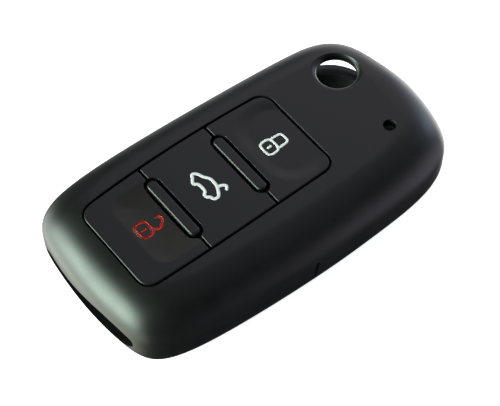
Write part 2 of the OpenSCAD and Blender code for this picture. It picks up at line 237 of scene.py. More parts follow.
def carve(piece, bm, material, how="DIFFERENCE"):
    # cuts, joins or trims a piece with a solid, whose material stays on the faces that it leaves
    tool = makePiece("tool", bm, material)
    boolean = piece.modifiers.new("carve", "BOOLEAN")
    boolean.operation = how
    boolean.object = tool
    boolean.solver = "EXACT"
    boolean.material_mode = "TRANSFER"
    seen = piece.evaluated_get(bpy.context.evaluated_depsgraph_get())
    carved = bpy.data.meshes.new_from_object(seen)
    piece.modifiers.clear()
    piece.data = carved
    bpy.data.objects.remove(tool)


def mendedMesh(piece, reach):
    # a piece's mesh with the corners closer than a reach made one
    bm = bmesh.new()
    bm.from_mesh(piece.data)
    bmesh.ops.remove_doubles(bm, verts=bm.verts, dist=reach)
    bmesh.ops.dissolve_degenerate(bm, edges=bm.edges, dist=reach)
    return bm


def joinClose(piece):
    # joins the corners that a cut leaves on top of each other
    bm = mendedMesh(piece, making["joinReach"])
    bmesh.ops.recalc_face_normals(bm, faces=bm.faces)
    bm.to_mesh(piece.data)
    bm.free()


def bevelWhere(piece, width, segments, isRim):
    # rounds the edges for which isRim says yes
    bm = mendedMesh(piece, making["bevelReach"])
    bm.normal_update()
    rim = [edge for edge in bm.edges if len(edge.link_faces) == 2 and isRim(edge)]
    bmesh.ops.bevel(bm, geom=rim, offset=width, segments=segments, affect="EDGES", profile=0.5,
                    material=-1, clamp_overlap=True)
    bm.to_mesh(piece.data)
    bm.free()


def facesUp(face, least=0.9):
    # whether a face looks up, by how high its normal points
    return face.normal.z > least


def finishPiece(piece, body, node, sharpAngle=making["sharpAngle"]):
    # smooth shading that leaves the flats flat
    piece.data.shade_smooth()
    piece.data.set_sharp_from_angle(angle=math.radians(sharpAngle))
    weighted = piece.modifiers.new("evenShading", "WEIGHTED_NORMAL")
    weighted.keep_sharp = True
    weighted.weight = making["shadeWeight"]
    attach(piece, body)
    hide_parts(node)


# Materials

def newNodes(name):
    material = bpy.data.materials.new(name)
    material.use_nodes = True
    tree = material.node_tree
    shader = tree.nodes["Principled BSDF"]
    place = tree.nodes.new("ShaderNodeTexCoord")
    return material, tree, shader, place.outputs["Object"]


def addNoise(tree, place, grain, detail=3.0, roughness=0.55):
    noise = tree.nodes.new("ShaderNodeTexNoise")
    noise.inputs["Scale"].default_value = 1 / grain
    noise.inputs["Detail"].default_value = detail
    noise.inputs["Roughness"].default_value = roughness
    tree.links.new(place, noise.inputs["Vector"])
    return noise.outputs["Fac"]


def addRange(tree, value, low, high, fromLow=0.3, fromHigh=0.7):
    node = tree.nodes.new("ShaderNodeMapRange")
    node.inputs["From Min"].default_value = fromLow
    node.inputs["From Max"].default_value = fromHigh
    node.inputs["To Min"].default_value = low
    node.inputs["To Max"].default_value = high
    tree.links.new(value, node.inputs["Value"])
    return node.outputs["Result"]


def addMix(tree, value, first, second):
    node = tree.nodes.new("ShaderNodeMix")
    node.data_type = "RGBA"
    node.inputs["A"].default_value = (*first, 1)
    node.inputs["B"].default_value = (*second, 1)
    tree.links.new(value, node.inputs["Factor"])
    return node.outputs["Result"]


def addBump(tree, height, distance, onto=None):
    node = tree.nodes.new("ShaderNodeBump")
    node.inputs["Distance"].default_value = distance
    tree.links.new(height, node.inputs["Height"])
    if onto is not None:
        tree.links.new(onto, node.inputs["Normal"])
    return node.outputs["Normal"]


def plugIn(tree, shader, colour, roughness, normal):
    for output, socket in ((colour, "Base Color"), (roughness, "Roughness"), (normal, "Normal")):
        tree.links.new(output, shader.inputs[socket])


def siliconeMaterial(name, look):
    # fine grain over soft waves, with gloss and shade that follow the waves
    material, tree, shader, place = newNodes(name)
    fine = addNoise(tree, place, look["grain"])
    cloudy = addNoise(tree, place, look["cloud"])
    colour = addMix(tree, addRange(tree, cloudy, 0, 1), look["dark"], look["pale"])
    roughness = addRange(tree, cloudy, look["gloss"], look["matte"])
    waves = addBump(tree, cloudy, look["waveHeight"])
    plugIn(tree, shader, colour, roughness, addBump(tree, fine, look["grainHeight"], waves))
    shader.inputs["IOR"].default_value = look["ior"]
    return material


skinLook = {
    "dark": (0.0058, 0.0060, 0.0062), "pale": (0.0078, 0.0080, 0.0083), "gloss": 0.38, "matte": 0.44,
    "grain": 0.16 * mm, "grainHeight": 0.004 * mm, "cloud": 5 * mm, "waveHeight": 0.012 * mm, "ior": 1.42,
}
padLook = {**skinLook, "gloss": 0.36, "matte": 0.42}
# the unlock pad's hollow is painted a little olive, a painted reflection of warm light on its tilted floor
paintedReflectionLook = {**padLook, "dark": (0.0074, 0.0073, 0.0046), "pale": (0.0090, 0.0089, 0.0056)}
# the inside is painted darker, as painted shade for the unlit interior, and is duller
innerShadeLook = {**skinLook, "dark": (0.0016, 0.0016, 0.0017), "pale": (0.0030, 0.0030, 0.0031),
             "gloss": 0.56, "matte": 0.66, "ior": 1.3}
skinMaterial = siliconeMaterial("skinSilicone", skinLook)
padMaterial = siliconeMaterial("padSilicone", padLook)
paintedReflectionMaterial = siliconeMaterial("paintedReflectionSilicone", paintedReflectionLook)
innerShadeMaterial = siliconeMaterial("innerShadeSilicone", innerShadeLook)


def inkMaterial(name, look):
    # printed colour that is thin in places, with a fine grain
    material, tree, shader, place = newNodes(name)
    fine = addNoise(tree, place, look["grain"])
    cloudy = addNoise(tree, place, look["cloud"])
    colour = addMix(tree, addRange(tree, cloudy, 0, 1), look["thin"], look["full"])
    roughness = addRange(tree, fine, look["gloss"], look["matte"])
    plugIn(tree, shader, colour, roughness, addBump(tree, fine, look["grainHeight"]))
    return material


whiteLook = {"thin": (0.88, 0.88, 0.88), "full": (0.97, 0.97, 0.97), "gloss": 0.42, "matte": 0.6,
             "grain": 0.08 * mm, "cloud": 0.6 * mm, "grainHeight": 0.003 * mm}
redLook = {"thin": (0.26, 0.006, 0.002), "full": (0.90, 0.040, 0.006), "gloss": 0.18, "matte": 0.28,
           "grain": 0.2 * mm, "cloud": 0.9 * mm, "grainHeight": 0.0005 * mm}
whiteInk = inkMaterial("whiteInk", whiteLook)
redInk = inkMaterial("redInk", redLook)
print("materials made")


# Jacket

jacket = {
    "length": 80 * mm, "width": 43.6 * mm, "height": 18.5 * mm, "wall": 1.9 * mm, "parting": 9.6 * mm,
    "frontReach": 8.4 * mm, "frontRise": 7.9 * mm, "rearReach": 6 * mm, "rearRise": 7.4 * mm,
    "floor": 0.9 * mm, "floorReach": 1.9 * mm, "floorMargin": 1.2 * mm, "floorRise": 0.4 * mm,
    "openingRise": 0.2 * mm, "outlineSteps": 8, "frontSteps": 12, "rearSteps": 10, "overrun": 1 * mm,
    "lipWidth": 0.4 * mm, "lipSegments": 4, "lipAngle": 30, "lipDepth": 2 * mm,
    "outline": [(1.01, 0.08), (0.995, 0.40), (0.975, 0.70), (0.84, 0.905), (0.52, 0.97), (0.05, 1.005),
                (-0.33, 0.965), (-0.62, 0.935), (-0.86, 0.81), (-0.91, 0.56), (-0.955, 0.24), (-0.995, -0.20),
                (-1.01, -0.55), (-0.98, -0.83), (-0.84, -0.96), (-0.56, -0.985), (-0.06, -1.005),
                (0.44, -0.985), (0.77, -0.94), (0.90, -0.74), (0.97, -0.36)],
}
panel = {
    "x": -1.4 * mm, "y": -9.75 * mm, "length": 46.1 * mm, "width": 21.7 * mm, "corner": 3.1 * mm,
    "bow": 1 * mm, "nearTail": 0.4 * mm, "nearHead": 0.05 * mm,     # the near side is the straighter one
    "groove": 0.4 * mm, "divider": 0.5 * mm, "lockLength": 14.75 * mm, "unlockLength": 15.15 * mm,
    "rim": 0.08 * mm, "rimSteps": 5, "cornerSteps": 12, "sideSteps": 24,
}
release = {"x": -7.3 * mm, "y": 28.1 * mm, "radius": 4.2 * mm, "rim": 1.3 * mm, "steps": 96, "rimSteps": 10}
lamp = {"x": 9.7 * mm, "y": 27.2 * mm, "radius": 1.3 * mm, "rim": 0.15 * mm, "steps": 48, "rimSteps": 4}
slot = {
    "low": 6 * mm, "high": 14.2 * mm, "tailY": -22 * mm, "headX": 4.4 * mm, "steps": 16,
    "lipInset": 0.7 * mm, "lipReach": 1.75 * mm, "lipDrop": 1.2 * mm, "lipSteps": 8, "lipLift": 0.02 * mm,
    "lipFacing": 0.4,
}
mouth = {
    "low": 5.4 * mm, "high": 11 * mm, "width": 27.8 * mm, "x": -1.2 * mm, "depth": 6.7 * mm, "steps": 4,
    "shares": [(1, 0.14), (0.96, 0.64), (0.77, 0.95), (0.44, 1), (0.13, 0.75), (-0.2, 0.39), (-0.52, 0.25),
               (-0.8, 0.39), (-0.96, 0.23), (-1, -0.02), (-0.9, -0.35), (-0.56, -0.71), (-0.06, -0.97),
               (0.45, -1), (0.8, -0.8), (0.97, -0.3)],
}
nick = {"width": 0.8 * mm, "depth": 0.7 * mm, "length": 6.4 * mm, "y": -0.9 * mm, "slant": 8}
ribs = {"x": -1.6 * mm, "length": 15.2 * mm, "width": 2.3 * mm, "proud": 0.2 * mm, "groove": 0.65 * mm,
        "rim": 0.5 * mm, "rimSteps": 6, "steps": 20}

top = jacket["height"]
floorTop = top - jacket["wall"]
floorLow = floorTop - jacket["floor"]
tailDivider = panel["y"] + panel["unlockLength"] - panel["length"] / 2
headDivider = panel["y"] + panel["length"] / 2 - panel["lockLength"]


def filledOutline():
    # plan outline that just fills the jacket's width and length
    raw = roundedCurve(jacket["outline"], jacket["outlineSteps"])
    low = [min(p[axis] for p in raw) for axis in (0, 1)]
    span = [max(p[axis] for p in raw) - low[axis] for axis in (0, 1)]
    size = (jacket["width"], jacket["length"])
    return [tuple(((p[axis] - low[axis]) / span[axis] - 0.5) * size[axis] for axis in (0, 1))
            for p in raw]


outline = filledOutline()


def ringAt(inset, z):
    # the plan outline at a height, drawn in on all sides
    wide, long = 1 - 2 * inset / jacket["width"], 1 - 2 * inset / jacket["length"]
    return [(x * wide, y * long, z) for x, y in outline]


def frontRings(reach, rise):
    # the domed front, from the widest section up to the flat face
    shoulder = top - jacket["frontRise"]
    return [ringAt(jacket["frontReach"] - reach * math.cos(t), shoulder + rise * math.sin(t))
            for t in quarterTurn(jacket["frontSteps"])]


def rearRings(reach, rise):
    # the rounded rear, from the flat back up to the widest section
    return [ringAt(jacket["rearReach"] - reach * math.cos(t), jacket["rearRise"] - rise * math.sin(t))
            for t in reversed(quarterTurn(jacket["rearSteps"]))]


def bodyShape(inset):
    # the jacket's outside, or with an inset its inside
    return stackRings(rearRings(jacket["rearReach"] - inset, jacket["rearRise"] - inset)
                      + frontRings(jacket["frontReach"] - inset, jacket["frontRise"] - inset))


def panelLoop(margin):
    # the panel's outline grown by a margin, with its long sides bowed out
    box = roundedBox(panel["width"] + 2 * margin, panel["length"] + 2 * margin, panel["corner"] + margin,
                     panel["cornerSteps"], panel["sideSteps"])
    bowed = []
    for x, y in box:
        end = (2 * y / panel["length"]) ** 2
        near = panel["nearHead"] if y > 0 else panel["nearTail"]
        bow = panel["bow"] - near * end if x > 0 else panel["bow"] * (end - 1)
        bowed.append((x + bow + panel["x"], y + panel["y"]))
    return bowed


def recessShape():
    # the panel's recess, with a rounded rim
    rings = [[(x, y, floorTop) for x, y in panelLoop(0)]]
    for t in quarterTurn(panel["rimSteps"]):
        loop = panelLoop(panel["rim"] * (1 - math.cos(t)))
        rings.append([(x, y, top - panel["rim"] * (1 - math.sin(t))) for x, y in loop])
    rings.append([(x, y, top + jacket["overrun"]) for x, y in panelLoop(panel["rim"])])
    return stackRings(rings)


def trimmed(bm, low, high):
    # what a block leaves of a solid
    piece = makePiece("trimmed", bm, innerShadeMaterial)
    carve(piece, block(low, high), innerShadeMaterial, "INTERSECT")
    left = bmesh.new()
    left.from_mesh(piece.data)
    bpy.data.objects.remove(piece)
    return left


def floorOpenings():
    # three openings in the floor, with bars between them that carry the ribs
    bar = ribs["width"] / 2 + ribs["groove"] + jacket["floorReach"] - panel["groove"]
    reach, overrun = jacket["length"], jacket["overrun"]
    low, high = floorLow - overrun, floorTop + jacket["openingRise"]
    openings = []
    for tail, head in ((-reach, tailDivider - bar), (tailDivider + bar, headDivider - bar),
                       (headDivider + bar, reach)):
        openings.append(trimmed(prism(panelLoop(-jacket["floorReach"]), low, high),
                                (-jacket["width"], tail, low - overrun),
                                (jacket["width"], head, high + overrun)))
    return openings


def holeShape(hole):
    # round hole with a rounded rim
    radius, rim = hole["radius"], hole["rim"]
    foot, lid = floorLow - jacket["overrun"], top + jacket["overrun"]
    curve = [(radius + rim * (1 - math.cos(t)), top - rim * (1 - math.sin(t)))
             for t in quarterTurn(hole["rimSteps"])]
    profile = [(0, foot), (radius, foot)] + curve + [(radius + rim, lid), (0, lid)]
    return turned(profile, hole["x"], hole["y"], hole["steps"])


def slotShapes():
    # the blade's way out, along the far side and round the head
    middle, radius = (slot["low"] + slot["high"]) / 2, (slot["high"] - slot["low"]) / 2
    inner = release["x"] - release["radius"]
    outX, outY = jacket["width"] / 2 + jacket["overrun"], jacket["length"] / 2 + jacket["overrun"]
    turns = [math.pi * k / slot["steps"] for k in range(slot["steps"] + 1)]
    sideY, headX = slot["tailY"] + radius, slot["headX"] - radius
    side = [(sideY - radius * math.sin(t), middle + radius * math.cos(t)) for t in turns]
    side += [(outY, slot["low"]), (outY, slot["high"])]
    head = [(headX + radius * math.sin(t), middle + radius * math.cos(t)) for t in turns]
    head += [(-outX, slot["low"]), (-outX, slot["high"])]
    return [stackRings([[(x, y, z) for y, z in side] for x in (-outX, inner)]),
            stackRings([[(x, y, z) for x, z in head] for y in (release["y"], outY)])]


def lipShapes():
    # round the inside of the slot's lower lip off, along the side and along the head
    foot = slot["low"] + slot["lipLift"]
    rings = [ringAt(slot["lipInset"] + slot["lipReach"] * math.sin(t),
                    foot - slot["lipDrop"] * (1 - math.cos(t)))
             for t in reversed(quarterTurn(slot["lipSteps"]))]
    rings.append(ringAt(slot["lipInset"], slot["low"] + slot["lipReach"]))
    radius = (slot["high"] - slot["low"]) / 2
    farX, inner, headX = -jacket["width"] / 2, release["x"] - release["radius"], slot["headX"] - radius
    spans = [((farX, slot["tailY"] + radius, 0), (inner, release["y"], top)),
             ((farX, release["y"], 0), (headX, jacket["length"] / 2, top))]
    return [trimmed(stackRings(rings), low, high) for low, high in spans]


def mouthShape():
    # the opening in the tail for the key's loop
    middle, rise = (mouth["low"] + mouth["high"]) / 2, (mouth["high"] - mouth["low"]) / 2
    lips = [(mouth["x"] + x * mouth["width"] / 2, middle + z * rise)
            for x, z in throughCurve(mouth["shares"], mouth["steps"], True)]
    outY = -jacket["length"] / 2 - jacket["overrun"]
    return stackRings([[(x, y, z) for x, z in lips] for y in (outY, outY + mouth["depth"])])


def nickShape():
    # slanted cut under the parting line of the near side
    side = jacket["width"] / 2 - nick["depth"]
    bm = block((0, -nick["width"] / 2, -nick["length"]),
               (nick["depth"] + jacket["overrun"], nick["width"] / 2, jacket["overrun"]))
    slant = Matrix.Rotation(math.radians(-nick["slant"]), 4, "X")
    place = Matrix.Translation((side, nick["y"], jacket["parting"]))
    bmesh.ops.transform(bm, matrix=place @ slant, verts=bm.verts)
    return bm


def isLip(edge):
    # whether an edge is a lip between the outside and a cut, lower than the panel
    first, second = edge.link_faces
    return (first.material_index != second.material_index
            and edge.calc_face_angle(0) > math.radians(jacket["lipAngle"])
            and edge.verts[0].co.z < top - jacket["lipDepth"])


def makeShells():
    body = makePiece("body", bodyShape(0), skinMaterial)
    carve(body, bodyShape(jacket["wall"]), innerShadeMaterial)
    floorShape = prism(panelLoop(jacket["floorMargin"]), floorLow, floorTop + jacket["floorRise"])
    carve(body, floorShape, innerShadeMaterial, "UNION")
    carve(body, recessShape(), skinMaterial)
    for shape in floorOpenings():
        carve(body, shape, innerShadeMaterial)
    for hole in (release, lamp):
        carve(body, holeShape(hole), skinMaterial)
    for shape in slotShapes() + lipShapes() + [mouthShape()]:
        carve(body, shape, innerShadeMaterial)
    carve(body, nickShape(), skinMaterial)
    bevelWhere(body, jacket["lipWidth"], jacket["lipSegments"], isLip)
    # light reaches the slot's lower lip, so it gets the outside's colour and gloss instead of the inner
    # painted shade
    for face in body.data.polygons:     # the slot's lower lip is as glossy as the outside
        nearLip = abs(face.center.z - slot["low"]) < slot["lipDrop"] and face.center.y > slot["tailY"]
        if nearLip and facesUp(face, slot["lipFacing"]):
            face.material_index = 0
    reach = jacket["length"]
    for name, node, low, high in (("frontShell", "front_shell", jacket["parting"], reach),
                                  ("rearShell", "rear_shell", -reach, jacket["parting"])):
        half = makePiece(name, bmesh.new())
        half.data = body.data.copy()
        carve(half, block((-reach, -reach, low), (reach, reach, high)), innerShadeMaterial, "INTERSECT")
        finishPiece(half, "jacket", node)
    bpy.data.objects.remove(body)


makeShells()
print("jacket made")


# Ribs

def makeRib(name, node, y):
    levels = [(0, floorTop)]    # how far in and how high
    levels += [(ribs["rim"] * (1 - math.cos(t)), top + ribs["proud"] - ribs["rim"] * (1 - math.sin(t)))
               for t in quarterTurn(ribs["rimSteps"])]
    rings = []
    for inset, z in levels:
        pill = pillOutline(ribs["length"] - 2 * inset, ribs["width"] - 2 * inset, ribs["steps"])
        rings.append([(px, py, z) for px, py in placed(pill, ribs["x"], y)])
    finishPiece(makePiece(name, stackRings(rings), skinMaterial), "jacket", node)


makeRib("headRib", "head_rib", headDivider)
makeRib("tailRib", "tail_rib", tailDivider)
print("ribs made")


# Pads

pads = {
    "thickness": 1.1 * mm, "rim": 0.29 * mm, "rimSteps": 7, "spacing": 0.2 * mm, "easing": 3,
    "cell": 0.3 * mm, "blank": 1 * mm,
    "ribRim": 0.35,     # share of the rim that is left along a rib
    "ribMargin": 0.1 * mm, "ribEasing": 8, "capFacing": 0.999,
}
headEnd = panel["y"] + panel["length"] / 2
tailEnd = panel["y"] - panel["length"] / 2
halfDivider = panel["divider"] / 2
lockPad = {
    "name": "lock", "tail": headDivider + halfDivider, "head": headEnd + jacket["overrun"],
    "middle": (headEnd + headDivider) / 2,
    "hollow": {"x": -1.0 * mm, "tail": 1.1 * mm, "head": 16 * mm, "width": 20.6 * mm, "corner": 7.0 * mm,
               "depth": 0.26 * mm, "ramp": 3.0 * mm, "soft": True},
}
bootPad = {
    "name": "boot", "tail": tailDivider + halfDivider, "head": headDivider - halfDivider,
    "middle": (tailDivider + headDivider) / 2,
}
unlockPad = {
    "name": "unlock", "tail": tailEnd - jacket["overrun"], "head": tailDivider - halfDivider,
    # its hollow takes the material with the painted olive reflection
    "middle": (tailEnd + tailDivider) / 2, "paintedReflection": paintedReflectionMaterial,
    "hollow": {"x": -1.1 * mm, "tail": -27.4 * mm, "head": -10 * mm, "width": 17.9 * mm,
               "corner": 3.2 * mm, "depth": 0.36 * mm, "ramp": 6.5 * mm, "soft": False},
}


def insideHollow(hollow, x, y):
    # distance in from the finger hollow's edge, below 0 outside it
    middle, half = (hollow["tail"] + hollow["head"]) / 2, (hollow["head"] - hollow["tail"]) / 2
    side = abs(x - hollow["x"]) - (hollow["width"] / 2 - hollow["corner"])
    foot = abs(y - middle) - (half - hollow["corner"])
    if side > 0 and foot > 0:
        return hollow["corner"] - math.hypot(side, foot)
    return hollow["corner"] - max(side, foot)


def padTop(pad, x, y):
    # height of a pad's top, which dips into its finger hollow
    if "hollow" not in pad:
        return top
    hollow = pad["hollow"]
    share = min(max(insideHollow(hollow, x, y) / hollow["ramp"], 0), 1)
    dip = share * share * (3 - 2 * share) if hollow["soft"] else 1 - (1 - share) ** 2
    return top - hollow["depth"] * dip


def padOutline(pad, margin=0):
    # outline of a pad, drawn in from its groove by a margin, read off a flat blank
    reach, blank = jacket["width"], pads["blank"]
    piece = makePiece("blank", prism(panelLoop(-panel["groove"] - margin), 0, blank), padMaterial)
    carve(piece, block((-reach, pad["tail"] + margin, -blank), (reach, pad["head"] - margin, 2 * blank)),
          padMaterial, "INTERSECT")
    bar = ribs["groove"] + margin
    for y in (tailDivider, headDivider):
        pill = pillOutline(ribs["length"] + 2 * bar, ribs["width"] + 2 * bar, ribs["steps"])
        carve(piece, prism(placed(pill, ribs["x"], y), -blank, 2 * blank), padMaterial)
    lid = max((face for face in piece.data.polygons if facesUp(face)), key=lambda face: face.area)
    corners = [piece.data.vertices[i].co for i in lid.vertices]
    curve = evenCurve([(corner.x, corner.y) for corner in corners], pads["spacing"])
    bpy.data.objects.remove(piece)
    for _ in range(pads["easing"]):
        curve = easedCurve(curve)
    return curve


def gridCap(bm, cell):
    # cuts the flat cap of a solid into cells
    for axis, reach, normal in ((0, jacket["width"] / 2, (1, 0, 0)), (1, jacket["length"] / 2, (0, 1, 0))):
        for k in range(math.floor(2 * reach / cell)):
            cap = [face for face in bm.faces if facesUp(face, pads["capFacing"])]
            low = min(v.co[axis] for face in cap for v in face.verts)
            high = max(v.co[axis] for face in cap for v in face.verts)
            place = k * cell - reach
            if low < place < high:
                geometry = set(cap)
                for face in cap:
                    geometry.update(face.verts)
                    geometry.update(face.edges)
                bmesh.ops.bisect_plane(bm, geom=list(geometry), dist=making["hair"],
                                       plane_co=[n * place for n in normal], plane_no=normal)


def rimShares(curve):
    # how round the rim is at each point of a pad's outline, as it is crisper along the ribs
    reachX = ribs["length"] / 2 + ribs["groove"]
    reachY = ribs["width"] / 2 + ribs["groove"] + pads["ribMargin"]
    shares = []
    for x, y in curve:
        near = min(abs(y - tailDivider), abs(y - headDivider)) < reachY and abs(x - ribs["x"]) < reachX
        shares.append(pads["ribRim"] if near else 1)
    for _ in range(pads["ribEasing"]):
        after = shares[1:] + shares[:1]
        shares = [(shares[i - 1] + 2 * share + after[i]) / 4 for i, share in enumerate(shares)]
    return shares


def makePad(pad):
    curve = padOutline(pad)
    shares = rimShares(curve)
    rings = [[(x, y, top - pads["thickness"]) for x, y in curve]]
    for t in quarterTurn(pads["rimSteps"]):
        inset, drop = pads["rim"] * (1 - math.cos(t)), pads["rim"] * (1 - math.sin(t))
        inner = shiftedCurve(curve, -inset, True)
        rings.append([(x + (innerX - x) * share, y + (innerY - y) * share, top - drop * share)
                      for (x, y), (innerX, innerY), share in zip(curve, inner, shares)])
    bm = stackRings(rings)
    if "hollow" in pad:
        bm.normal_update()
        gridCap(bm, pads["cell"])
        for v in bm.verts:
            if v.co.z > top - pads["thickness"] / 2:
                v.co.z += padTop(pad, v.co.x, v.co.y) - top
        bmesh.ops.triangulate(bm, faces=bm.faces)
        # the hollow's faces get the second material, which carries the painted olive reflection
        for face in bm.faces:       # the second material is only in the hollow
            middle = face.calc_center_median()
            if facesUp(face) and insideHollow(pad["hollow"], middle.x, middle.y) > 0:
                face.material_index = 1
    piece = makePiece(pad["name"] + "Pad", bm, padMaterial, pad.get("paintedReflection", padMaterial))
    for line, closed in pad["lines"]:
        carve(piece, lineSolid(pad, line, closed, pocketSection), padMaterial)
    joinClose(piece)
    finishPiece(piece, pad["name"] + "_button", pad["name"] + "_pad")


webs = {"inset": 0.3 * mm, "thickness": 0.4 * mm}


def makeWeb(pad):
    # thin skirt under a pad's edge, of whose 0.8 mm a full press leaves 0.3 mm
    stacks = []
    for margin in (webs["inset"], webs["inset"] + webs["thickness"]):
        curve = padOutline(pad, margin)
        stacks.append([[(x, y, z) for x, y in curve] for z in (floorTop, top - pads["thickness"])])
    piece = makePiece(pad["name"] + "Web", stackRings(*stacks), innerShadeMaterial)
    finishPiece(piece, "jacket", pad["name"] + "_web")
    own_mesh(piece)


pips = {"radius": 3 * mm, "length": 2 * mm, "rim": 0.4 * mm, "rimSteps": 6, "steps": 48}


def makePip(pad):
    # round foot under a pad, which presses the key's own button
    high = top - pads["thickness"]
    low = high - pips["length"]
    radius, rim = pips["radius"], pips["rim"]
    curve = [(radius - rim * (1 - math.sin(t)), low + rim * (1 - math.cos(t)))
             for t in quarterTurn(pips["rimSteps"])]
    profile = [(0, low)] + curve + [(radius, high), (0, high)]
    piece = makePiece(pad["name"] + "Pip", turned(profile, panel["x"], pad["middle"], pips["steps"]),
                      innerShadeMaterial)
    finishPiece(piece, pad["name"] + "_button", pad["name"] + "_pip")


# Inlaid pictures

picture = {
    "line": 0.56 * mm, "bootLine": 0.7 * mm, "redLine": 0.64 * mm,
    "depth": 0.4 * mm, "proud": 0.034 * mm, "above": 0.4 * mm,
    "drop": 0.006 * mm,     # open lines lie this much under the closed ones
    "x": 0.25 * mm, "steps": 6, "endSteps": 8, "cornerSteps": 8, "sideSteps": 8, "sharpAngle": 50,
    "lockWidth": 3.4 * mm, "lockHeight": 2.8 * mm, "lockCorner": 0.9 * mm, "keyhole": 1.25 * mm,
    "shackleWidth": 2.6 * mm, "shackleRise": 2.5 * mm,
    "redGrowth": 0.12 * mm, "redGain": 1.05,    # the red lock is a little larger
    "carWidth": 7.24 * mm, "carHeight": 3.32 * mm,
    "lockShift": 0.9 * mm, "unlockShift": 1.45 * mm, "bootShift": -0.15 * mm,
    "car": [(-1, -0.24), (-0.95, -0.47), (-0.79, -0.6), (-0.64, -0.88), (-0.5, -1), (-0.38, -0.88),
            (-0.28, -0.55), (0.29, -0.55), (0.37, -0.86), (0.53, -0.98), (0.66, -0.86), (0.73, -0.56),
            (0.95, -0.48), (1, 0.02), (0.92, 0.36), (0.6, 0.74), (0.36, 0.96), (0.06, 1),
            (-0.22, 0.94), (-0.48, 0.5), (-0.78, 0.27), (-0.93, 0.04)],
    "lid": [(0.47, 0.9), (0.5, 1.28), (0.56, 1.55), (0.64, 1.78), (0.76, 1.78), (0.88, 1.56)],
    "openShackle": [(0.5, 0), (0.85, 0.22), (1.05, 0.38), (1.02, 0.62), (0.66, 0.88), (0.2, 1.08),
                    (-0.12, 1.12), (-0.48, 1.05), (-0.74, 0.88)],
}
# across half a line: share of half its width, and height above the pad's top
raisedSection = [(1, -picture["depth"]), (1, -0.03 * mm), (0.88, 0.006 * mm), (0.64, 0.024 * mm),
                 (0.4, picture["proud"])]
channelSection = [(0.36, -0.2 * mm), (0.7, -0.12 * mm), (0.84, 0), (0.84, picture["above"])]
pocketSection = [(1, -picture["depth"]), (1, picture["above"])]


def roundedOutline(curve, reach):
    # outline round an open line, with round ends
    right, left = shiftedCurve(curve, reach, False), shiftedCurve(curve, -reach, False)
    ends = []
    for (x, y), (fromX, fromY) in ((curve[-1], right[-1]), (curve[0], left[0])):
        start = math.atan2(fromY - y, fromX - x)
        turns = [start + math.pi * k / picture["endSteps"] for k in range(1, picture["endSteps"])]
        ends.append([(x + reach * math.cos(t), y + reach * math.sin(t)) for t in turns])
    return right + ends[0] + left[::-1] + ends[1]


def lineSolid(pad, curve, closed, section):
    # solid along a line on a pad's top
    def ringsAt(side):
        rings = []
        for share, height in section:
            reach = side * share * pad["line"] / 2
            ring = shiftedCurve(curve, reach, True) if closed else roundedOutline(curve, reach)
            drop = 0 if closed else picture["drop"]
            rings.append([(x, y, padTop(pad, x, y) + height - drop) for x, y in ring])
        return rings

    return stackRings(ringsAt(1), ringsAt(-1) if closed else ())


def makePicture(pad, name, node, ink, lines, channel=False):
    # inlay of one or more joined lines, if wanted with a channel along their middle
    piece = makePiece(name, lineSolid(pad, *lines[0], raisedSection), ink)
    for line in lines[1:]:
        carve(piece, lineSolid(pad, *line, raisedSection), ink, "UNION")
    if channel:
        for line in lines:
            carve(piece, lineSolid(pad, *line, channelSection), ink)
    joinClose(piece)
    finishPiece(piece, pad["name"] + "_button", node, picture["sharpAngle"])


pictureHeight = picture["lockHeight"] + picture["shackleRise"]


def lockFrame(x, y, growth=0):
    frameY = (picture["lockHeight"] - pictureHeight) / 2
    box = roundedBox(picture["lockWidth"] + growth, picture["lockHeight"] + growth, picture["lockCorner"],
                     picture["cornerSteps"], picture["sideSteps"])
    return placed(box, x, y + frameY)


def closedShackle(x, y):
    half, foot = picture["shackleWidth"] / 2, picture["lockHeight"] - pictureHeight / 2
    bend = half - picture["line"]
    bendY = foot + picture["shackleRise"] - bend
    right = cornerArc(half - bend, bendY, bend, 0, picture["cornerSteps"])
    left = cornerArc(bend - half, bendY, bend, 90, picture["cornerSteps"])
    return placed([(half, foot)] + right + left[1:] + [(-half, foot)], x, y)


def openShackle(x, y):
    wide = picture["shackleWidth"] / 2 * picture["redGain"]
    high = picture["shackleRise"] * picture["redGain"]
    points = [(sx * wide, sy * high) for sx, sy in picture["openShackle"]]
    foot = picture["lockHeight"] - pictureHeight / 2
    return placed(throughCurve(points, picture["steps"], False), x, y + foot)


def keyholeLine(x, y):
    half = (picture["keyhole"] - picture["line"]) / 2
    return placed([(0, -half), (0, 0), (0, half)], x, y + (picture["lockHeight"] - pictureHeight) / 2)


def carLine(shares, closed):
    scaleX, scaleY = picture["carWidth"] / 2, picture["carHeight"] / 2
    curve = [(x * scaleX, y * scaleY) for x, y in throughCurve(shares, picture["steps"], closed)]
    return placed(curve, pictureX - picture["line"], bootPad["middle"] + picture["bootShift"])


pictureX = panel["x"] + picture["x"]
lockY, unlockY = lockPad["middle"] + picture["lockShift"], unlockPad["middle"] + picture["unlockShift"]
lockLines = [(lockFrame(pictureX, lockY), True), (closedShackle(pictureX, lockY), False)]
lockKeyhole = [(keyholeLine(pictureX, lockY), False)]
bootLines = [(carLine(picture["car"], True), True), (carLine(picture["lid"], False), False)]
unlockLines = [(lockFrame(pictureX, unlockY, picture["redGrowth"]), True),
               (openShackle(pictureX, unlockY), False)]
unlockKeyhole = [(keyholeLine(pictureX, unlockY), False)]
for pad, line, lines in ((lockPad, "line", lockLines + lockKeyhole), (bootPad, "bootLine", bootLines),
                         (unlockPad, "redLine", unlockLines + unlockKeyhole)):
    pad["line"], pad["lines"] = picture[line], lines
    makePad(pad)
    makeWeb(pad)
    makePip(pad)
print("pads made")

